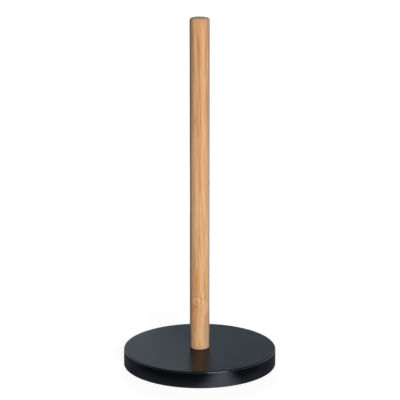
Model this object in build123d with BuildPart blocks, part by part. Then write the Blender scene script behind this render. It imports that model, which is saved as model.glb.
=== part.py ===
"""Free-standing paper towel holder: a bamboo rod screwed upright to a weighted steel base.

The origin lies on the table under the rod, and +Z runs up the rod's axis. Sizes are in millimetres.
One screw from beneath clamps the whole stack: its head, a spring washer, a flat washer, the ballast,
the drawn steel shell and the rod's foot. The foam pad under the ballast carries the holder.
"""

import os

from build123d import *

# Overall
overall_height = 322.0
base_height = 16.0  # from the table to the base's flat top
base_diameter = 140.0

# Bamboo rod
rod_diameter = 18.0
rod_top_chamfer = 1.5
rod_foot_chamfer = 0.5
drill_tip_height = 3.0  # cone left by the drill at the end of the rod's bore

# Base shell, drawn from sheet steel
sheet_thickness = 0.8
rim_radius = 1.5  # outside of the drawn corner
skirt_height = 0.8  # from the table to the skirt's trimmed edge

# Foam pad under the base
pad_thickness = 3.0
pad_inset = 5.0  # from the skirt's outside

# Ballast, cast in an open mould
ballast_draft = 0.4  # on the radius, from the foot to the top

# M6 screw with a domed head
thread_diameter = 6.0
screw_length = 25.0
screw_tip_chamfer = 0.8
head_diameter = 12.0
head_height = 4.6
head_dome = 2.0  # of that height
head_set_back = 2.4  # from the table up to the head
drive_width = 6.6  # across the cross recess
drive_wing = 1.7
drive_depth = 2.6
drive_taper = 10.0  # degrees

# Washers
flat_washer_diameter = 18.0
flat_washer_thickness = 1.6
spring_washer_width = 2.5  # of the coiled section
spring_washer_thickness = 1.6
spring_washer_slit = 1.0
spring_washer_slant = 20.0  # degrees, of the slit

# Threaded insert in the rod's foot
insert_diameter = 10.0
insert_length = 15.0
insert_chamfer = 0.6
insert_set_in = 0.5  # below the rod's foot, so that the wood seats first
hex_drive_depth = 5.0

# Clearances on the radius
thread_clearance = 0.05  # screw in the insert
hex_drive_clearance = 0.15  # flats of the key socket, beyond the threaded bore
insert_clearance = 0.05  # insert in the rod
spring_washer_clearance = 0.05  # screw in the spring washer
flat_washer_clearance = 0.2  # screw in the flat washer
hole_clearance = 0.3  # screw in the shell and in the ballast
recess_clearance = 3.0  # flat washer in the ballast's pocket
pad_hole_clearance = 1.0  # pad around the pocket, so that a screwdriver gets in
ballast_clearance = 0.6  # ballast in the skirt
drill_past_screw = 3.0  # bore left free beyond the screw's tip, along the axis

# Places worked out from those sizes
base_radius = base_diameter / 2
rod_radius = rod_diameter / 2
thread_radius = thread_diameter / 2
rod_foot = base_height
ballast_top = base_height - sheet_thickness
skirt_inner_radius = base_radius - sheet_thickness
rim_start_radius = base_radius - rim_radius  # where the flat top ends
rim_end_height = base_height - rim_radius  # where the skirt begins
ballast_radius = skirt_inner_radius - ballast_clearance
ballast_bevel = rim_radius - sheet_thickness  # clears the inside of the rim
head_radius = head_diameter / 2
screw_seat = head_set_back + head_height
spring_washer_top = screw_seat + spring_washer_thickness
recess_floor = spring_washer_top + flat_washer_thickness
screw_tip = screw_seat + screw_length
screw_hole_radius = thread_radius + hole_clearance
spring_washer_inner_radius = thread_radius + spring_washer_clearance
spring_washer_outer_radius = spring_washer_inner_radius + spring_washer_width
recess_radius = flat_washer_diameter / 2 + recess_clearance
insert_foot = rod_foot + insert_set_in
threaded_bore_radius = thread_radius + thread_clearance
insert_bore_radius = insert_diameter / 2 + insert_clearance
bore_end = max(screw_tip, insert_foot + insert_length) + drill_past_screw

os.makedirs("parts", exist_ok=True)


def write(builder, name):
    """Labels a finished piece and writes it to its own STEP file."""
    builder.part.label = name
    export_step(builder.part, f"parts/{name}.step")


# Bamboo rod: turned, chamfered at the top, bored at the foot for the insert
with BuildPart() as bamboo_rod:
    with BuildSketch(Plane.XZ):
        with BuildLine():
            Polyline(
                (0, overall_height),
                (rod_radius - rod_top_chamfer, overall_height),
                (rod_radius, overall_height - rod_top_chamfer),
                (rod_radius, rod_foot + rod_foot_chamfer),
                (rod_radius - rod_foot_chamfer, rod_foot),
                (insert_bore_radius, rod_foot),
                (insert_bore_radius, bore_end),
                (0, bore_end + drill_tip_height),
                close=True,
            )
        make_face()
    revolve(axis=Axis.Z)
write(bamboo_rod, "bamboo_rod")

# Base shell: the sheet's section, rounded outside and bevelled inside at the rim, turned about the axis
with BuildPart() as base_shell:
    with BuildSketch(Plane.XZ):
        with BuildLine():
            top = Line((screw_hole_radius, base_height), (rim_start_radius, base_height))
            rim = TangentArc(top @ 1, (base_radius, rim_end_height), tangent=top % 1)
            Polyline(
                rim @ 1,
                (base_radius, skirt_height),
                (skirt_inner_radius, skirt_height),
                (skirt_inner_radius, rim_end_height),
                (rim_start_radius, ballast_top),
                (screw_hole_radius, ballast_top),
                top @ 0,
            )
        make_face()
    revolve(axis=Axis.Z)
write(base_shell, "base_shell")

# Ballast: a cast disc, bevelled to clear the shell's rim, with a pocket for the screw head and the washers
with BuildPart() as ballast:
    with BuildSketch(Plane.XZ):
        with BuildLine():
            Polyline(
                (0, pad_thickness),
                (ballast_radius, pad_thickness),
                (ballast_radius - ballast_draft, ballast_top - ballast_bevel),
                (ballast_radius - ballast_draft - ballast_bevel, ballast_top),
                (0, ballast_top),
                close=True,
            )
        make_face()
    revolve(axis=Axis.Z)
    with Locations(Plane((0, 0, pad_thickness), z_dir=(0, 0, -1))):
        CounterBoreHole(screw_hole_radius, recess_radius, recess_floor - pad_thickness)
write(ballast, "ballast")

# Foam pad: a ring cut from sheet, which stands proud of the skirt's edge
with BuildPart() as non_slip_pad:
    with BuildSketch():
        Circle(base_radius - pad_inset)
        Circle(recess_radius + pad_hole_clearance, mode=Mode.SUBTRACT)
    extrude(amount=pad_thickness)
write(non_slip_pad, "non_slip_pad")

# Fixing screw: domed head with a cross recess, driven from beneath
with BuildPart() as fixing_screw:
    with BuildSketch(Plane.XZ):
        with BuildLine():
            dome = TangentArc((0, head_set_back), (head_radius, head_set_back + head_dome), tangent=(1, 0))
            Polyline(
                dome @ 1,
                (head_radius, screw_seat),
                (thread_radius, screw_seat),
                (thread_radius, screw_tip - screw_tip_chamfer),
                (thread_radius - screw_tip_chamfer, screw_tip),
                (0, screw_tip),
                dome @ 0,
            )
        make_face()
    revolve(axis=Axis.Z)
    with BuildSketch(Plane.XY.offset(head_set_back)):
        Rectangle(drive_width, drive_wing)
        Rectangle(drive_wing, drive_width)
    extrude(amount=drive_depth, taper=drive_taper, mode=Mode.SUBTRACT)
write(fixing_screw, "fixing_screw")

# Spring washer: a split ring, pressed flat by the screw
with BuildPart() as spring_washer:
    with BuildSketch(Plane.XY.offset(screw_seat)):
        Circle(spring_washer_outer_radius)
        Circle(spring_washer_inner_radius, mode=Mode.SUBTRACT)
    extrude(amount=spring_washer_thickness)
    slit_radius = (spring_washer_inner_radius + spring_washer_outer_radius) / 2
    slit_plane = Plane((slit_radius, 0, screw_seat + spring_washer_thickness / 2))
    with BuildSketch(slit_plane.rotated((spring_washer_slant, 0, 0))):
        Rectangle(2 * spring_washer_width, spring_washer_slit)
    extrude(amount=2 * spring_washer_thickness, both=True, mode=Mode.SUBTRACT)
write(spring_washer, "spring_washer")

# Flat washer: spreads the screw's pull over the floor of the ballast's pocket
with BuildPart() as flat_washer:
    with BuildSketch(Plane.XY.offset(spring_washer_top)):
        Circle(flat_washer_diameter / 2)
        Circle(thread_radius + flat_washer_clearance, mode=Mode.SUBTRACT)
    extrude(amount=flat_washer_thickness)
write(flat_washer, "flat_washer")

# Threaded insert: driven into the rod's bore with a hexagon key
with BuildPart() as threaded_insert:
    with BuildSketch(Plane.XY.offset(insert_foot)):
        Circle(insert_diameter / 2)
    extrude(amount=insert_length)
    chamfer(threaded_insert.edges().filter_by(GeomType.CIRCLE), insert_chamfer)
    with Locations(Plane((0, 0, insert_foot), z_dir=(0, 0, -1))):
        Hole(threaded_bore_radius)
    with BuildSketch(Plane.XY.offset(insert_foot)):
        RegularPolygon(threaded_bore_radius + hex_drive_clearance, 6, major_radius=False)
    extrude(amount=hex_drive_depth, mode=Mode.SUBTRACT)
write(threaded_insert, "threaded_insert")
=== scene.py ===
"""Looks of a paper towel holder: a bamboo rod standing on a black coated steel base.

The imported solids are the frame. Each mesh made here is in metres in that frame and stands for one of
them: the rod, the drawn shell, the cement ballast, the foam pad, the screw, its washers and the insert.
"""

import math

import bmesh
import bpy
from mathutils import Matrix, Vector, noise


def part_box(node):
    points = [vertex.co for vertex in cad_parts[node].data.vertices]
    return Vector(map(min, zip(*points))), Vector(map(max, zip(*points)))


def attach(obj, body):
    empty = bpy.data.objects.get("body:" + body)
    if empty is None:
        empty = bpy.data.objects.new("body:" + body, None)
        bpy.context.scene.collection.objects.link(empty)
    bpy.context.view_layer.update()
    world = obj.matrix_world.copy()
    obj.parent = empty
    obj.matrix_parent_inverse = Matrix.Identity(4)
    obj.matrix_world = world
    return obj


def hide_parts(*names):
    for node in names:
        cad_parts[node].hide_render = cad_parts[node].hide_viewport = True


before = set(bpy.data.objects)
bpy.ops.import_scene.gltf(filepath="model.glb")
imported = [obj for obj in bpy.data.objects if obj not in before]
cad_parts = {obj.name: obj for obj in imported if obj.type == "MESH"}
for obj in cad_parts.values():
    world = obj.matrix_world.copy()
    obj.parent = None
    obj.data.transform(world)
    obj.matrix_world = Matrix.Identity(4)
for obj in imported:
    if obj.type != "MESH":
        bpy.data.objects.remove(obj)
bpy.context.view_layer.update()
scene = bpy.context.scene
mm = 0.001


def span(node):
    """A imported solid's foot, top and radius about the rod's axis."""
    low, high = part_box(node)
    return low.z, high.z, max(high.x, high.y)


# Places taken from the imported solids
rod_foot, rod_top, rod_radius = span("bamboo_rod")
skirt_edge, base_top, base_radius = span("base_shell")
ballast_foot, ballast_top, ballast_radius = span("ballast")
pad_foot, pad_top, pad_radius = span("non_slip_pad")
spring_foot, spring_top, spring_radius = span("spring_washer")
washer_foot, washer_top, washer_radius = span("flat_washer")
insert_foot, insert_top, insert_radius = span("threaded_insert")
screw_tip = span("fixing_screw")[1]

# Bamboo rod
top_chamfer = 1.5 * mm
foot_chamfer = 0.5 * mm
rod_bore_radius = 5.05 * mm
rod_bore_end = 35 * mm
drill_tip = 3 * mm
strip_seam = 3 * mm  # glue lines lie this far before and behind the axis

# Steel shell and what it covers
sheet = 0.8 * mm
rim_radius = 1.5 * mm
screw_hole_radius = 3.3 * mm
ballast_draft = 0.4 * mm
ballast_bevel = rim_radius - sheet
pocket_radius = 12 * mm
pad_hole_radius = 13 * mm
pad_waist = 0.25 * mm  # how far the cut edge of the foam draws in

# Screw, washers and insert
head_foot = 2.4 * mm
head_radius = 6 * mm
head_dome_top = 4.4 * mm
head_dome_radius = 10 * mm
head_seat = spring_foot
thread_radius = 3 * mm
thread_depth = 0.55 * mm
thread_pitch = 1 * mm
screw_tip_chamfer = 0.8 * mm
recess_width = 6.6 * mm
recess_wing = 1.7 * mm
recess_depth = 2.6 * mm
recess_taper = math.radians(10)
spring_bore_radius = 3.05 * mm
spring_slit = 1 * mm
spring_slant = math.radians(20)
washer_bore_radius = 3.2 * mm
insert_bore_radius = 3.05 * mm
insert_chamfer = 0.6 * mm
insert_thread_depth = 0.5 * mm
insert_thread_pitch = 2 * mm
key_socket_flat = 3.2 * mm  # from the axis to a flat
key_socket_depth = 5 * mm


# Shapes


def rounded(outline, steps=5):
    """Points of an outline whose corners are given as (radius, height, rounding)."""
    points = []
    for index, (radius, height, rounding) in enumerate(outline):
        corner = Vector((radius, height))
        if rounding == 0:
            points.append(corner)
            continue
        before = Vector(outline[index - 1][:2]) - corner
        after = Vector(outline[(index + 1) % len(outline)][:2]) - corner
        before.normalize()
        after.normalize()
        half = before.angle(after) / 2
        inward = (before + after).normalized() / math.sin(half)
        start = before / math.tan(half) - inward
        end = after / math.tan(half) - inward
        for step in range(steps + 1):
            points.append(corner + (inward + start.slerp(end, step / steps)) * rounding)
    return points


def divided(points, longest, closed):
    """The same line with points added, so that no run of it is longer than that."""
    line = []
    pairs = list(zip(points, points[1:]))
    if closed:
        pairs.append((points[-1], points[0]))
    for start, end in pairs:
        runs = max(1, math.ceil((end - start).length / longest))
        line += [start.lerp(end, run / runs) for run in range(runs)]
    return line if closed else line + [points[-1]]


def ring(radius, height, around):
    """Points of a level circle about the axis, or the one point on it."""
    if radius == 0:
        return [Vector((0, 0, height))]
    turns = [math.tau * step / around for step in range(around)]
    return [Vector((radius * math.cos(turn), radius * math.sin(turn), height)) for turn in turns]


def threaded_rings(crest, groove, pitch, foot, top, around, rows_per_turn=10):
    """Level rings from foot to top whose radius rises and falls in a helix, run out at both ends."""
    rows = round(abs(top - foot) / pitch * rows_per_turn)
    rings = []
    for row in range(rows + 1):
        height = foot + (top - foot) * row / rows
        run_out = min(1, row / rows_per_turn, (rows - row) / rows_per_turn)
        level = []
        for step in range(around):
            turn = math.tau * step / around
            wave = 0.5 + 0.5 * math.cos(math.tau * height / pitch - turn)
            radius = crest + (groove - crest) * wave * run_out
            level.append(Vector((radius * math.cos(turn), radius * math.sin(turn), height)))
        rings.append(level)
    return rings


def shaded(piece, crease):
    """Smooth shading that breaks at edges sharper than the crease, with flat faces kept flat."""
    piece.data.shade_smooth()
    piece.data.set_sharp_from_angle(angle=math.radians(crease))
    if not piece.modifiers:
        level = piece.modifiers.new("even_shading", "WEIGHTED_NORMAL")
        level.keep_sharp = True


def skinned(name, rings, joined=False, crease=40):
    """One closed mesh over a row of rings; a ring of one point closes that end."""
    shape = bmesh.new()
    rows = [[shape.verts.new(point) for point in level] for level in rings]
    pairs = list(zip(rows, rows[1:]))
    if joined:
        pairs.append((rows[-1], rows[0]))
    for lower, upper in pairs:
        around = max(len(lower), len(upper))
        for step in range(around):
            following = step + 1
            corners = [
                lower[step % len(lower)],
                lower[following % len(lower)],
                upper[following % len(upper)],
                upper[step % len(upper)],
            ]
            shape.faces.new(dict.fromkeys(corners))
    bmesh.ops.recalc_face_normals(shape, faces=shape.faces)
    mesh = bpy.data.meshes.new(name)
    shape.to_mesh(mesh)
    shape.free()
    piece = bpy.data.objects.new(name, mesh)
    scene.collection.objects.link(piece)
    shaded(piece, crease)
    return piece


def turned(name, outline, around, longest):
    """A piece turned about the rod's axis from its outline."""
    closed = all(radius > 0 for radius, height, rounding in outline)
    points = divided(rounded(outline), longest, closed)
    return skinned(name, [ring(point.x, point.y, around) for point in points], joined=closed)


def roughened(piece, depth, length):
    """Sinks a surface unevenly by up to that depth, in hollows about that long."""
    mesh = piece.data
    sunk = []
    for vertex in mesh.vertices:
        hollow = 0.5 + 0.5 * noise.noise(vertex.co / length)
        sunk.append(vertex.co - vertex.normal * depth * min(1, max(0, hollow)))
    for vertex, place in zip(mesh.vertices, sunk):
        vertex.co = place
    return piece


def cut(piece, cutter, crease):
    """Takes the cutter's shape out of a piece."""
    taking = piece.modifiers.new("cut", "BOOLEAN")
    taking.operation = "DIFFERENCE"
    taking.solver = "EXACT"
    taking.object = cutter
    bpy.context.view_layer.update()
    left = bpy.data.meshes.new_from_object(piece.evaluated_get(bpy.context.evaluated_depsgraph_get()))
    piece.modifiers.clear()
    piece.data = left
    left.name = piece.name
    bpy.data.objects.remove(cutter)
    shaded(piece, crease)


def turned_rod():
    """The rod: chamfered at the top, bored at the foot."""
    outline = [
        (0, rod_top, 0),
        (rod_radius - top_chamfer, rod_top, 0.25 * mm),
        (rod_radius, rod_top - top_chamfer, 0.4 * mm),
        (rod_radius, rod_foot + foot_chamfer, 0.25 * mm),
        (rod_radius - foot_chamfer, rod_foot, 0.25 * mm),
        (rod_bore_radius, rod_foot, 0.1 * mm),
        (rod_bore_radius, rod_bore_end, 0),
        (0, rod_bore_end + drill_tip, 0),
    ]
    return turned("turned_rod", outline, around=144, longest=9 * mm)


def drawn_shell():
    """The shell: one sheet, drawn over a round rim into a short skirt."""
    inner_radius = base_radius - sheet
    underside = base_top - sheet
    outline = [
        (screw_hole_radius, base_top, 0.15 * mm),
        (base_radius, base_top, rim_radius),
        (base_radius, skirt_edge, 0.3 * mm),
        (inner_radius, skirt_edge, 0.3 * mm),
        (inner_radius, underside, rim_radius - sheet),
        (screw_hole_radius, underside, 0.15 * mm),
    ]
    return turned("drawn_shell", outline, around=288, longest=6 * mm)


def cast_ballast():
    """The ballast: a cast disc with draft, and a pocket for the screw's head."""
    top_radius = ballast_radius - ballast_draft
    outline = [
        (screw_hole_radius, ballast_top, 0.2 * mm),
        (top_radius - ballast_bevel, ballast_top, 0.5 * mm),
        (top_radius, ballast_top - ballast_bevel, 0.5 * mm),
        (ballast_radius, ballast_foot, 0.5 * mm),
        (pocket_radius, ballast_foot, 0.5 * mm),
        (pocket_radius, washer_top, 0.5 * mm),
        (screw_hole_radius, washer_top, 0.2 * mm),
    ]
    disc = turned("cast_ballast", outline, around=216, longest=2 * mm)
    return roughened(disc, depth=0.3 * mm, length=3.5 * mm)


def foam_ring():
    """The pad: a ring stamped from foam, drawn in a little along its cut edges."""
    middle = (pad_foot + pad_top) / 2
    outline = [
        (pad_hole_radius, pad_top, 0.3 * mm),
        (pad_radius, pad_top, 0.3 * mm),
        (pad_radius - pad_waist, middle, 1.5 * mm),
        (pad_radius, pad_foot, 0.5 * mm),
        (pad_hole_radius, pad_foot, 0.5 * mm),
        (pad_hole_radius + pad_waist, middle, 1.5 * mm),
    ]
    stamped = turned("foam_ring", outline, around=216, longest=3 * mm)
    return roughened(stamped, depth=0.15 * mm, length=4 * mm)


def domed_screw():
    """The screw: a domed head with a cross recess, and a thread up to its tip."""
    around = 48
    dome_steps = 10
    rings = []
    for step in range(dome_steps + 1):
        radius = head_radius * step / dome_steps
        sagitta = head_dome_radius - math.sqrt(head_dome_radius**2 - radius**2)
        rings.append(ring(radius, head_foot + sagitta, around))
    neck_end = head_seat + 0.5 * mm
    shoulder = [
        (head_radius, head_dome_top + 0.1 * mm, 0),
        (head_radius, head_seat, 0.2 * mm),
        (thread_radius, head_seat, 0.2 * mm),
        (thread_radius, neck_end, 0),
    ]
    rings += [ring(point.x, point.y, around) for point in rounded(shoulder)]
    thread_root = thread_radius - thread_depth
    thread_start = head_seat + 0.6 * mm
    thread_end = screw_tip - screw_tip_chamfer
    rings += threaded_rings(thread_radius, thread_root, thread_pitch, thread_start, thread_end, around)
    rings.append(ring(thread_radius - screw_tip_chamfer, screw_tip, around))
    rings.append(ring(0, screw_tip, around))
    screw = skinned("domed_screw", rings)
    cut(screw, cross_recess(), crease=30)
    return screw


def cross_recess():
    """The cutter for the screw's recess: a cross that narrows as it goes in, ending in a shallow cone."""
    clear_of_head = 0.5 * mm
    before_head = head_foot - clear_of_head
    recess_end = head_foot + recess_depth
    rings = [[Vector((0, 0, before_head))]]
    for height in (before_head, recess_end):
        narrowed = (height - head_foot) * math.tan(recess_taper)
        arm = recess_width / 2 - narrowed
        wing = recess_wing / 2 - narrowed
        corners = [(arm, -wing), (arm, wing), (wing, wing)]
        cross = []
        for quarter in range(4):
            turn = math.tau * quarter / 4
            for x, y in corners:
                turned_x = x * math.cos(turn) - y * math.sin(turn)
                turned_y = x * math.sin(turn) + y * math.cos(turn)
                cross.append(Vector((turned_x, turned_y, height)))
        rings.append(cross)
    cone_depth = 0.4 * mm
    rings.append([Vector((0, 0, recess_end + cone_depth))])
    return skinned("cross_recess", rings)


def split_washer():
    """The spring washer: a bar bent round into a ring, with slanted ends a slit apart."""
    outline = [
        (spring_bore_radius, spring_foot, 0.15 * mm),
        (spring_radius, spring_foot, 0.25 * mm),
        (spring_radius, spring_top, 0.25 * mm),
        (spring_bore_radius, spring_top, 0.15 * mm),
    ]
    section = rounded(outline, steps=3)
    middle = (spring_foot + spring_top) / 2
    half_slit = spring_slit / math.cos(spring_slant) / 2
    steps = 72
    rings = []
    for step in range(steps + 1):
        bar = []
        for point in section:
            lean = (middle - point.y) * math.tan(spring_slant)
            start = (lean + half_slit) / point.x
            end = math.tau + (lean - half_slit) / point.x
            turn = start + (end - start) * step / steps
            bar.append(Vector((point.x * math.cos(turn), point.x * math.sin(turn), point.y)))
        rings.append(bar)
    ends = [[sum(bar, Vector()) / len(bar)] for bar in (rings[0], rings[-1])]
    return skinned("split_washer", [ends[0], *rings, ends[1]])


def stamped_washer():
    """The flat washer: rolled over on the punch's side, sharp on the other."""
    outline = [
        (washer_bore_radius, washer_foot, 0.25 * mm),
        (washer_radius, washer_foot, 0.4 * mm),
        (washer_radius, washer_top, 0.1 * mm),
        (washer_bore_radius, washer_top, 0.1 * mm),
    ]
    return turned("stamped_washer", outline, around=96, longest=2 * mm)


def brass_insert():
    """The insert: a coarse thread outside, a fine one inside, and a socket for a hexagon key."""
    around = 48
    narrow = insert_radius - insert_chamfer
    bore_chamfer = insert_chamfer / 2
    socket_end = insert_foot + key_socket_depth
    apart = 0.01 * mm  # between the last turn of the bore's thread and the socket's end
    socket = []
    for step in range(around):
        turn = math.tau * step / around
        radius = key_socket_flat / math.cos(turn % (math.tau / 6) - math.tau / 12)
        socket.append(Vector((radius * math.cos(turn), radius * math.sin(turn), 0)))
    rings = [ring(narrow, insert_foot, around)]
    rings += threaded_rings(
        insert_radius,
        insert_radius - insert_thread_depth,
        insert_thread_pitch,
        insert_foot + insert_chamfer,
        insert_top - insert_chamfer,
        around,
    )
    rings.append(ring(narrow, insert_top, around))
    rings.append(ring(insert_bore_radius + bore_chamfer, insert_top, around))
    rings += threaded_rings(
        insert_bore_radius,
        insert_bore_radius + thread_depth / 2,
        thread_pitch,
        insert_top - bore_chamfer,
        socket_end + apart,
        around,
    )
    rings.append([point + Vector((0, 0, socket_end)) for point in socket])
    rings.append([point + Vector((0, 0, insert_foot)) for point in socket])
    return skinned("brass_insert", rings, joined=True, crease=35)


# Finishes


class Socket:
    """A node's output that can stand in a sum: each operator adds one Math node to its tree."""

    def __init__(self, finish, node, output):
        self.finish = finish
        self.node = node
        self.output = output

    def __getitem__(self, name):
        return Socket(self.finish, self.node, self.node.outputs[name])

    def maths(self, operation, *values):
        """A Math node on those values."""
        return self.finish.node("ShaderNodeMath", {"operation": operation}, dict(enumerate(values)))

    def __add__(self, other):
        return self.maths("ADD", self, other)

    def __radd__(self, other):
        return self.maths("ADD", other, self)

    def __sub__(self, other):
        return self.maths("SUBTRACT", self, other)

    def __rsub__(self, other):
        return self.maths("SUBTRACT", other, self)

    def __mul__(self, other):
        return self.maths("MULTIPLY", self, other)

    def __rmul__(self, other):
        return self.maths("MULTIPLY", other, self)

    def __pow__(self, other):
        return self.maths("POWER", self, other)

    def __gt__(self, other):
        return self.maths("GREATER_THAN", self, other)

    def __abs__(self):
        return self.maths("ABSOLUTE", self)


class Finish:
    """The node tree of a material or of the world, built up by calls that each return a socket."""

    def __init__(self, owner):
        self.owner = owner
        owner.use_nodes = True
        self.tree = owner.node_tree
        self.tree.nodes.clear()

    def node(self, kind, settings=None, inputs=None):
        """Adds a node: first its settings, then a value or a link for each named or numbered socket."""
        node = self.tree.nodes.new(kind)
        for name, value in (settings or {}).items():
            if name == "stops":
                self.set_stops(node.color_ramp.elements, value)
            else:
                setattr(node, name, value)
        free = [socket for socket in node.inputs if socket.enabled]
        for key, value in (inputs or {}).items():
            socket = free[key] if isinstance(key, int) else next(one for one in free if one.name == key)
            if isinstance(value, Socket):
                self.tree.links.new(value.output, socket)
            elif socket.type == "RGBA":
                socket.default_value = (*value, 1)
            else:
                socket.default_value = value
        return Socket(self, node, next((output for output in node.outputs if output.enabled), None))

    @staticmethod
    def set_stops(elements, stops):
        """Gives a ramp its colours; it starts with two."""
        while len(elements) < len(stops):
            elements.new(0.5)
        for element, (position, colour) in zip(elements, stops):
            element.position = position
            element.color = (*colour, 1)

    def place(self):
        """Where the surface is, in metres in the holder's frame."""
        return self.node("ShaderNodeTexCoord")["Object"]

    def apart(self, vector):
        """A vector's three numbers."""
        parts = self.node("ShaderNodeSeparateXYZ", inputs={0: vector})
        return parts["X"], parts["Y"], parts["Z"]

    def together(self, x, y, z):
        """A vector from three numbers."""
        return self.node("ShaderNodeCombineXYZ", inputs={0: x, 1: y, 2: z})

    def noise(self, place, sizes, detail=1.0):
        """Soft noise about 0.5 whose blots have those sizes along x, y and z."""
        scaled = self.node("ShaderNodeVectorMath", {"operation": "DIVIDE"}, {0: place, 1: sizes})
        return self.node("ShaderNodeTexNoise", inputs={"Vector": scaled, "Scale": 1, "Detail": detail})

    def cells(self, place, size):
        """Distance from the middle of cells of about that size."""
        return self.node("ShaderNodeTexVoronoi", inputs={"Vector": place, "Scale": 1 / size})

    def rise(self, value, low, high):
        """Goes smoothly from 0 at low to 1 at high."""
        settings = {"interpolation_type": "SMOOTHSTEP"}
        ends = {"Value": value, "From Min": low, "From Max": high}
        return self.node("ShaderNodeMapRange", settings, ends)

    def ramp(self, value, stops):
        """A colour read off along a row of stops."""
        return self.node("ShaderNodeValToRGB", {"stops": stops}, {0: value})

    def mix(self, amount, first, second):
        """The second colour laid over the first by that amount."""
        return self.node("ShaderNodeMix", {"data_type": "RGBA"}, {0: amount, "A": first, "B": second})

    def bump(self, height, distance, strength):
        """A normal from a height, which spans that distance."""
        inputs = {"Height": height, "Distance": distance, "Strength": strength}
        return self.node("ShaderNodeBump", inputs=inputs)

    def surface(self, **inputs):
        """The one shader that ends most finishes; words are joined by _ in its sockets' names."""
        named = {name.replace("_", " "): value for name, value in inputs.items()}
        self.end(self.node("ShaderNodeBsdfPrincipled", inputs=named))
        return self.owner

    def end(self, shader):
        """Links the last shader to the tree's output."""
        of_world = isinstance(self.owner, bpy.types.World)
        kind = "ShaderNodeOutputWorld" if of_world else "ShaderNodeOutputMaterial"
        self.node(kind, inputs={"Surface": shader})


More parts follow.
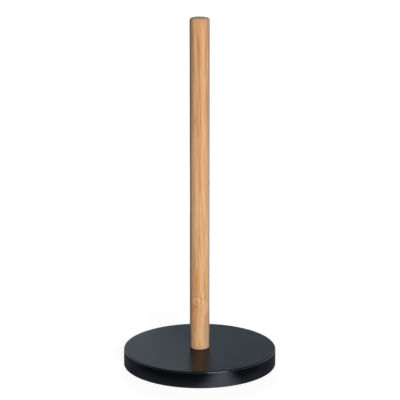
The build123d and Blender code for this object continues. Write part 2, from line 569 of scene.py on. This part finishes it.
def lacquered_bamboo():
    """Three glued strips of bamboo under clear lacquer, each with drifting fibres and a joint."""
    finish = Finish(bpy.data.materials.new("lacquered_bamboo"))
    place = finish.place()
    x, y, z = finish.apart(place)
    behind_front = y > -strip_seam
    at_back = y > strip_seam
    strip = behind_front + at_back
    seams = 1 - finish.rise(abs(abs(y) - strip_seam), 0.03 * mm, 0.12 * mm)

    # Height of the cane's joint in the front strip, and how much higher it is in each next strip
    front_joint = 62.5 * mm
    to_middle_joint = 92 * mm
    to_back_joint = 66 * mm
    from_joint = z - (front_joint + behind_front * to_middle_joint + at_back * to_back_joint)
    joint = 1 - finish.rise(abs(from_joint), 2 * mm, 6 * mm)
    halo = 1 - finish.rise(abs(from_joint), 3 * mm, 22 * mm)

    # Each strip has its own grain, which drifts sideways and ripples at the joint
    shift = finish.together(strip * 37 * mm, strip * 11 * mm, strip * 53 * mm)
    own = finish.node("ShaderNodeVectorMath", {"operation": "ADD"}, {0: place, 1: shift})
    drift = (finish.noise(own, (16 * mm, 16 * mm, 70 * mm)) - 0.5) * 4 * mm
    ripple = (finish.noise(own, (4 * mm, 4 * mm, 7 * mm)) - 0.5) * halo * 5 * mm
    own_x, own_y, own_z = finish.apart(own)
    grain = finish.together(own_x + drift + ripple, own_y + drift, own_z)
    bands = finish.noise(grain, (3.2 * mm, 3.2 * mm, 110 * mm))
    streaks = finish.noise(grain, (1.3 * mm, 1.3 * mm, 45 * mm))
    fibres = finish.rise(finish.noise(grain, (0.42 * mm, 0.42 * mm, 30 * mm)), 0.52, 0.68)
    blush = finish.rise(finish.noise(grain, (1.9 * mm, 1.9 * mm, 70 * mm)), 0.45, 0.62)

    # Colour of the grain, paler towards the foot; darker and greyer on the middle strip, as painted shade
    # and sheen on the rod's left and right sides
    even_height = 200 * mm
    paler_per_metre = 1.3
    paler_down = (even_height - z) * paler_per_metre
    tone = 0.5 + paler_down + (bands - 0.5) * 1.3 + (streaks - 0.5) * 2.6
    stops = [
        (0.15, (0.52, 0.245, 0.084)),
        (0.40, (0.64, 0.338, 0.132)),
        (0.60, (0.70, 0.398, 0.175)),
        (0.85, (0.83, 0.494, 0.236)),
    ]
    rosy = (0.70, 0.395, 0.230)
    fibre_brown = (0.42, 0.19, 0.065)
    painted_side_shade = (0.36, 0.235, 0.15)
    colour = finish.ramp(tone, stops)
    colour = finish.mix(blush * 0.6, colour, rosy)
    colour = finish.mix(fibres * 0.35, colour, fibre_brown)
    # Painted shade and sheen: the middle strip lies at the rod's left and right sides, which it darkens
    # and greys
    in_middle = behind_front - at_back
    colour = finish.mix(in_middle * 0.35, colour, painted_side_shade)

    # Marks on the front strip: across, height, half width and half length in millimetres, tint, amount
    ember = (0.68, 0.310, 0.105)
    pale = (0.84, 0.520, 0.270)
    rose = (0.72, 0.415, 0.255)
    # A painted sheen grey, for the rod's right side and for a painted reflection low on the right
    painted_gloss_grey = (0.56, 0.440, 0.340)
    umber = (0.30, 0.140, 0.055)
    straw = (0.78, 0.455, 0.180)
    long_marks = [
        # The first two bands are painted sheen and shade along the rod's left and right sides
        (-6.4, 170, 2.4, 260, rose, 0.50),
        (8.4, 170, 2.0, 260, painted_gloss_grey, 0.60),
        (-0.7, 230, 1.1, 120, ember, 0.75),
        (-3.0, 150, 2.0, 85, pale, 0.55),
        (-3.4, 305, 1.6, 40, pale, 0.45),
        (3.2, 280, 2.0, 60, rose, 0.60),
        (0.6, 190, 1.2, 30, ember, 0.45),
        (-2.8, 79, 4.2, 20, ember, 0.90),
        (2.2, 82, 1.8, 18, rose, 0.60),
        (-3.6, 48, 4.4, 18, ember, 0.70),
        (3.0, 50, 1.6, 22, rose, 0.75),
        (-2.2, 34, 2.4, 22, straw, 0.70),
        # Painted reflection: a grey patch low on the right, where the strip lamp shows in the gloss
        (5.0, 26, 3.6, 20, painted_gloss_grey, 0.50),
        (6.6, 79, 2.2, 14, straw, 0.65),
        (6.4, 56, 2.4, 9, pale, 0.80),
        (7.0, 125, 2.8, 55, pale, 0.60),
        (-6.0, 300, 3.4, 70, umber, 0.16),
        (0.5, 285, 4.5, 60, umber, 0.13),
        (-6.0, 200, 2.6, 26, pale, 0.25),
        (0.5, 104, 3.5, 32, ember, 0.30),
        (6.5, 187, 2.6, 28, straw, 0.35),
        (6.5, 94, 2.4, 16, ember, 0.20),
        (-6.0, 130, 2.6, 60, pale, 0.25),
    ]
    short_marks = [
        (-4.0, 57.0, 4.8, 3.4, ember, 0.95),
        (-3.6, 57.8, 2.6, 1.4, umber, 0.25),
        (-4.3, 67.0, 1.3, 1.4, umber, 0.55),
        (-2.4, 67.5, 0.7, 1.6, umber, 0.45),
        (-3.1, 61.8, 0.9, 2.0, umber, 0.60),
        (-1.0, 64.0, 1.3, 3.4, pale, 0.90),
        (2.8, 66.0, 1.2, 3.2, pale, 0.50),
        (1.1, 64.5, 0.7, 3.0, umber, 0.35),
        (4.4, 66.5, 0.8, 1.2, umber, 0.40),
        (4.6, 61.0, 0.8, 1.0, umber, 0.30),
        (-1.0, 319.6, 1.8, 1.3, ember, 0.80),
    ]
    grain_x = x + drift * 0.35  # long marks follow the grain
    unfaded = 0.3  # share of a mark's half length that has its full strength
    places = [(grain_x, mark) for mark in long_marks] + [(x, mark) for mark in short_marks]
    for side, (across, up, half_width, half_length, tint, amount) in places:
        beside = 1 - finish.rise(abs(side - across * mm), 0.0, half_width * mm)
        along = 1 - finish.rise(abs(z - up * mm), half_length * unfaded * mm, half_length * mm)
        colour = finish.mix(beside * along * (1 - behind_front) * amount, colour, tint)

    # Flecks at the joints, and the glue lines
    bright_fleck = (0.86, 0.570, 0.300)
    glue = (0.36, 0.18, 0.07)
    flecks = finish.noise(own, (0.9 * mm, 0.9 * mm, 2.6 * mm), detail=2)
    ticks = finish.rise(flecks, 0.53, 0.62) * joint
    glints = finish.rise(0 - flecks, -0.46, -0.36) * joint
    colour = finish.mix(ticks * (0.2 + behind_front * 0.4), colour, umber)
    colour = finish.mix(glints * 0.4, colour, bright_fleck)
    colour = finish.mix(seams * 0.45, colour, glue)

    # Sawn and sanded ends
    worn = (0.56, 0.40, 0.29)
    sanded = (0.60, 0.42, 0.28)
    cut_fibre = (0.69, 0.500, 0.335)
    pore = (0.30, 0.205, 0.127)
    chamfer_foot = rod_top - top_chamfer
    foot_wear = 1 - finish.rise(z, rod_foot + 0.5 * mm, rod_foot + 5 * mm)
    bevel = finish.rise(z, chamfer_foot - 0.3 * mm, chamfer_foot)
    end_grain = finish.rise(z, rod_top - 0.3 * mm, rod_top - 0.05 * mm)
    pores = finish.rise(finish.noise(own, (0.55 * mm, 0.55 * mm, 30 * mm)), 0.5, 0.66)
    colour = finish.mix(foot_wear * 0.5, colour, worn)
    colour = finish.mix(bevel * 0.6, colour, sanded)
    colour = finish.mix(end_grain, colour, finish.mix(pores * 0.7, cut_fibre, pore))

    lacquer = (1 - bevel) * 0.6
    roughness = 0.66 + fibres * 0.08 + end_grain * 0.2 - ticks * 0.05
    height = (1 - fibres) * 0.6 + streaks * 0.4 - ticks * 0.8 - pores * end_grain * 1.5 - seams * 0.5
    return finish.surface(
        Base_Color=colour,
        Roughness=roughness,
        Specular_IOR_Level=0.06,
        Diffuse_Roughness=0.0,
        Coat_Weight=lacquer,
        Coat_Roughness=0.15,
        Coat_IOR=1.5,
        Normal=finish.bump(height, 0.03 * mm, strength=0.6),
    )


def black_coat():
    """Baked black powder on steel: a faint orange peel, glossier on the wall, where no roll rubs it."""
    finish = Finish(bpy.data.materials.new("black_coat"))
    place = finish.place()
    z = finish.apart(place)[2]
    cloud = finish.noise(place, (30 * mm, 30 * mm, 30 * mm), detail=2)
    peel = finish.noise(place, (1.1 * mm, 1.1 * mm, 1.1 * mm))
    grit = finish.noise(place, (0.25 * mm, 0.25 * mm, 0.25 * mm))
    unrubbed = 1 - finish.rise(z, base_top - 0.7 * mm, base_top - 0.1 * mm)
    rubbed_black = (0.0075, 0.0085, 0.0095)
    wall_black = finish.mix(cloud, (0.0017, 0.0025, 0.0033), (0.0027, 0.0038, 0.0050))
    return finish.surface(
        Base_Color=finish.mix(unrubbed, rubbed_black, wall_black),
        Roughness=0.25 + cloud * 0.05 + grit * 0.04,
        Specular_IOR_Level=0.07,
        Coat_Weight=unrubbed * 0.9,
        Coat_Roughness=0.14,
        Coat_IOR=1.7,
        Normal=finish.bump(peel * 0.7 + grit * 0.3, 0.01 * mm, strength=0.3),
    )


def cast_cement():
    """Grey cement with sand in it, pale bloom and the holes that air leaves against the mould."""
    finish = Finish(bpy.data.materials.new("cast_cement"))
    place = finish.place()
    bloom = finish.rise(finish.noise(place, (14 * mm, 14 * mm, 14 * mm), detail=3), 0.35, 0.65)
    sand = finish.noise(place, (0.7 * mm, 0.7 * mm, 0.7 * mm), detail=2)
    holes = 1 - finish.rise(finish.cells(place, 3.2 * mm), 0.12, 0.24)
    grey = (0.27, 0.26, 0.245)
    pale_grey = (0.43, 0.42, 0.395)
    sand_brown = (0.20, 0.185, 0.165)
    hole_shade = (0.07, 0.066, 0.06)
    colour = finish.mix(bloom, grey, pale_grey)
    colour = finish.mix(finish.rise(sand, 0.5, 0.7) * 0.4, colour, sand_brown)
    colour = finish.mix(holes * 0.75, colour, hole_shade)
    return finish.surface(
        Base_Color=colour,
        Roughness=0.85 + sand * 0.1,
        Specular_IOR_Level=0.3,
        Normal=finish.bump(sand * 0.4 - holes, 0.25 * mm, strength=0.8),
    )


def black_foam():
    """Closed-cell foam, nearly black: fine round cells and a matt skin."""
    finish = Finish(bpy.data.materials.new("black_foam"))
    place = finish.place()
    small_cells = finish.cells(place, 0.45 * mm)
    large_cells = finish.cells(place, 1.3 * mm)
    cloud = finish.noise(place, (9 * mm, 9 * mm, 9 * mm), detail=2)
    cell_wall = (0.045, 0.045, 0.046)
    colour = finish.mix(cloud, (0.014, 0.014, 0.015), (0.026, 0.026, 0.027))
    colour = finish.mix(finish.rise(small_cells, 0.45, 0.8) * 0.5, colour, cell_wall)
    return finish.surface(
        Base_Color=colour,
        Roughness=0.82 + cloud * 0.1,
        Specular_IOR_Level=0.3,
        Normal=finish.bump(small_cells + large_cells * 0.5, 0.12 * mm, strength=0.7),
    )


def turned_marks(finish, place, spacing):
    """Rings left by the tool about the axis, uneven in depth."""
    x, y, z = finish.apart(place)
    distance = (x * x + y * y) ** 0.5
    return finish.noise(finish.together(distance, z, 0.0), (spacing, spacing, spacing), detail=2)


def zinc_plate():
    """Bright zinc on steel: tool rings under the plate, a faint yellow and blue tint, and dull stains."""
    finish = Finish(bpy.data.materials.new("zinc_plate"))
    place = finish.place()
    marks = turned_marks(finish, place, 0.12 * mm)
    tint = finish.rise(finish.noise(place, (2.5 * mm, 2.5 * mm, 2.5 * mm), detail=2), 0.35, 0.65)
    stain = finish.rise(finish.noise(place, (0.8 * mm, 0.8 * mm, 0.8 * mm), detail=2), 0.58, 0.75)
    bluish = (0.60, 0.63, 0.67)
    yellowish = (0.70, 0.68, 0.60)
    dull_grey = (0.40, 0.40, 0.40)
    colour = finish.mix(tint, bluish, yellowish)
    colour = finish.mix(stain * 0.4, colour, dull_grey)
    return finish.surface(
        Base_Color=colour,
        Metallic=1.0,
        Roughness=0.26 + marks * 0.12 + stain * 0.2,
        Normal=finish.bump(marks, 0.02 * mm, strength=0.5),
    )


def turned_brass():
    """Brass from the lathe, dulled in patches."""
    finish = Finish(bpy.data.materials.new("turned_brass"))
    place = finish.place()
    marks = turned_marks(finish, place, 0.15 * mm)
    dull = finish.noise(place, (3 * mm, 3 * mm, 3 * mm), detail=2)
    bright = (0.83, 0.62, 0.29)
    tarnished = (0.60, 0.40, 0.17)
    return finish.surface(
        Base_Color=finish.mix(finish.rise(dull, 0.4, 0.7), bright, tarnished),
        Metallic=1.0,
        Roughness=0.22 + dull * 0.2 + marks * 0.08,
        Normal=finish.bump(marks, 0.02 * mm, strength=0.4),
    )


# The pieces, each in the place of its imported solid


def fitted(piece, node, finish):
    """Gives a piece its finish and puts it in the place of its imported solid."""
    piece.data.materials.clear()
    piece.data.materials.append(finish)
    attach(piece, "root")
    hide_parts(node)
    return piece


zinc = zinc_plate()
fitted(turned_rod(), "bamboo_rod", lacquered_bamboo())
fitted(drawn_shell(), "base_shell", black_coat())
fitted(cast_ballast(), "ballast", cast_cement())
pad = fitted(foam_ring(), "non_slip_pad", black_foam())
fitted(domed_screw(), "fixing_screw", zinc)
fitted(split_washer(), "spring_washer", zinc)
fitted(stamped_washer(), "flat_washer", zinc)
fitted(brass_insert(), "threaded_insert", turned_brass())


# The studio


def seen_rays(finish):
    """1 for rays that look at the studio, straight or by way of gloss or glass; 0 for its light."""
    path = finish.node("ShaderNodeLightPath")
    return path["Is Camera Ray"] + path["Is Glossy Ray"] + path["Is Transmission Ray"]


def white_floor():
    """A wide white floor that takes the holder's shadow, and that is clear from beneath."""
    reach = 8.0
    corners = [(-reach, -reach, 0), (reach, -reach, 0), (reach, reach, 0), (-reach, reach, 0)]
    mesh = bpy.data.meshes.new("white_floor")
    mesh.from_pydata(corners, [], [(0, 1, 2, 3)])
    floor = bpy.data.objects.new("white_floor", mesh)
    scene.collection.objects.link(floor)

    finish = Finish(bpy.data.materials.new("white_paper"))
    x, y = finish.apart(finish.place())[:2]
    from_axis = (x * x + y * y) ** 0.5
    path = finish.node("ShaderNodeLightPath")
    in_gloss = path["Is Glossy Ray"]

    # What gloss shows of the floor: painted dusk, with a painted lit stripe and painted pools of light
    stripe_across = (0.826, 0.564)
    stripe_offset = 22.7 * mm
    stripe_half_width = 32 * mm
    from_stripe = abs(x * stripe_across[0] + y * stripe_across[1] + stripe_offset)
    lit = 1 - finish.rise(from_stripe, 1 * mm, stripe_half_width)
    close = 1 - finish.rise(from_axis, base_radius, base_radius + 30 * mm)
    before = 1 - finish.rise(y, -55 * mm, -25 * mm)
    far_right = finish.rise(from_axis, 140 * mm, 200 * mm) * finish.rise(x, -20 * mm, 40 * mm)
    # Painted pools of light: close to the holder, behind it and far to the right
    light_pool_close = 0.18
    light_pool_behind = 0.06
    light_pool_far_right = 0.6
    dusk = 1 - close * before * light_pool_close - (1 - before) * light_pool_behind
    dusk = dusk * (1 - lit) * (1 - far_right * light_pool_far_right)
    lit_paper = (0.80, 0.86, 1.0)
    dusk_paper = (0.01, 0.013, 0.017)
    mirrored = finish.mix(dusk, lit_paper, dusk_paper)

    # White to the camera, with some of the shadow near the holder
    white = (1, 1, 1)
    glow_strength = 1.11
    shadow_share = 0.2
    brightness = finish.mix(in_gloss, white, mirrored)
    glow = finish.node("ShaderNodeEmission", inputs={"Color": brightness, "Strength": glow_strength})
    paper = finish.node("ShaderNodeBsdfDiffuse", inputs={"Color": (0.97, 0.97, 0.97)})
    near = 1 - finish.rise(from_axis, 200 * mm, 600 * mm)
    paper_share = near * shadow_share * (1 - in_gloss)
    bright_paper = finish.node("ShaderNodeMixShader", inputs={0: paper_share, 1: glow, 2: paper})

    # Dimmer as a source of light, and clear from beneath and to the lamps
    dim_paper = finish.node("ShaderNodeBsdfDiffuse", inputs={"Color": (0.36, 0.385, 0.43)})
    seen = seen_rays(finish)
    shown = finish.node("ShaderNodeMixShader", inputs={0: seen, 1: dim_paper, 2: bright_paper})
    beneath = finish.node("ShaderNodeNewGeometry")["Backfacing"]
    through = 1 - (1 - beneath) * (1 - path["Is Shadow Ray"])
    clear = finish.node("ShaderNodeBsdfTransparent")
    finish.end(finish.node("ShaderNodeMixShader", inputs={0: through, 1: shown, 2: clear}))
    mesh.materials.append(finish.owner)


def studio_air():
    """White to the camera; in gloss a pale backdrop, dimmer before the holder and dark overhead."""
    world = bpy.data.worlds.new("studio_air")
    scene.world = world
    finish = Finish(world)
    way = finish.node("ShaderNodeTexCoord")["Generated"]
    y, z = finish.apart(way)[1:]
    white = (1, 1, 1)
    front_grey = (0.23, 0.27, 0.31)
    back_grey = (0.50, 0.61, 0.715)
    overhead_grey = (0.06, 0.06, 0.065)
    faint_light = (0.05, 0.05, 0.055)
    backdrop = finish.mix(finish.rise(y, -0.3, 0.4), front_grey, back_grey)
    backdrop = finish.mix(finish.rise(z, 0.45, 0.8), backdrop, overhead_grey)
    to_camera = finish.node("ShaderNodeLightPath")["Is Camera Ray"]
    seen = finish.mix(to_camera, backdrop, white)
    colour = finish.mix(seen_rays(finish), faint_light, seen)
    finish.end(finish.node("ShaderNodeBackground", inputs={"Color": colour, "Strength": 1.0}))


def soft_box(name, azimuth, elevation, distance, size, power, colour, aim):
    """An area lamp aimed at the holder; azimuth 0 is the camera's side and grows to its right."""
    turn = math.radians(azimuth)
    lift = math.radians(elevation)
    level = math.cos(lift)
    away = Vector((math.sin(turn) * level, -math.cos(turn) * level, math.sin(lift)))
    data = bpy.data.lights.new(name, "AREA")
    data.shape = "RECTANGLE"
    data.size, data.size_y = size
    data.energy = power
    data.color = colour
    lamp = bpy.data.objects.new(name, data)
    scene.collection.objects.link(lamp)
    lamp.location = Vector(aim) + away * distance
    lamp.rotation_euler = away.to_track_quat("Z", "Y").to_euler()
    return lamp


def photographed():
    """The camera, where the photograph was taken from."""
    degrees_down = 14.251
    data = bpy.data.cameras.new("camera")
    data.sensor_width = 36
    data.lens = 165.24
    camera = bpy.data.objects.new("camera", data)
    scene.collection.objects.link(camera)
    camera.location = (0.0003, -1.6108, 0.5650)
    camera.rotation_euler = (math.radians(90 - degrees_down), 0, 0)
    scene.camera = camera


white_floor()
studio_air()
photographed()

# Lamps that light the holder, then lamps that show only as gloss
warm = (1.0, 0.985, 0.96)
cool = (0.97, 0.985, 1.0)
white = (1.0, 1.0, 1.0)
sky = (0.90, 0.96, 1.0)
azure = (0.90, 0.95, 1.0)
on_rod = (0, 0, 120 * mm)
ground = (0, 0, 0)
top = (0, 0, base_top)
wall = (0, 0, 10 * mm)
key = soft_box(
    "key", azimuth=14, elevation=18, distance=2.2, size=(0.6, 0.6), power=46, colour=warm, aim=on_rod
)
fill = soft_box(
    "fill", azimuth=180, elevation=20, distance=2.2, size=(0.6, 0.6), power=34, colour=cool, aim=on_rod
)
under = soft_box(
    "under", azimuth=0, elevation=-90, distance=1.2, size=(0.5, 0.5), power=12, colour=white, aim=ground
)
back = soft_box(
    "back", azimuth=212, elevation=11, distance=0.34, size=(0.3, 0.06), power=0.042, colour=sky, aim=top
)
high = soft_box(
    "high", azimuth=188, elevation=34, distance=0.356, size=(0.1, 0.14), power=0.034, colour=sky, aim=top
)
strip = soft_box(
    "strip", azimuth=28, elevation=35, distance=0.6, size=(0.28, 0.1), power=1.2, colour=azure, aim=wall
)
for lamp in (key, fill, under):
    lamp.visible_glossy = False
for lamp in (back, high, strip):
    lamp.visible_diffuse = False
    lamp.visible_camera = False
scene.view_settings.view_transform = "Standard"
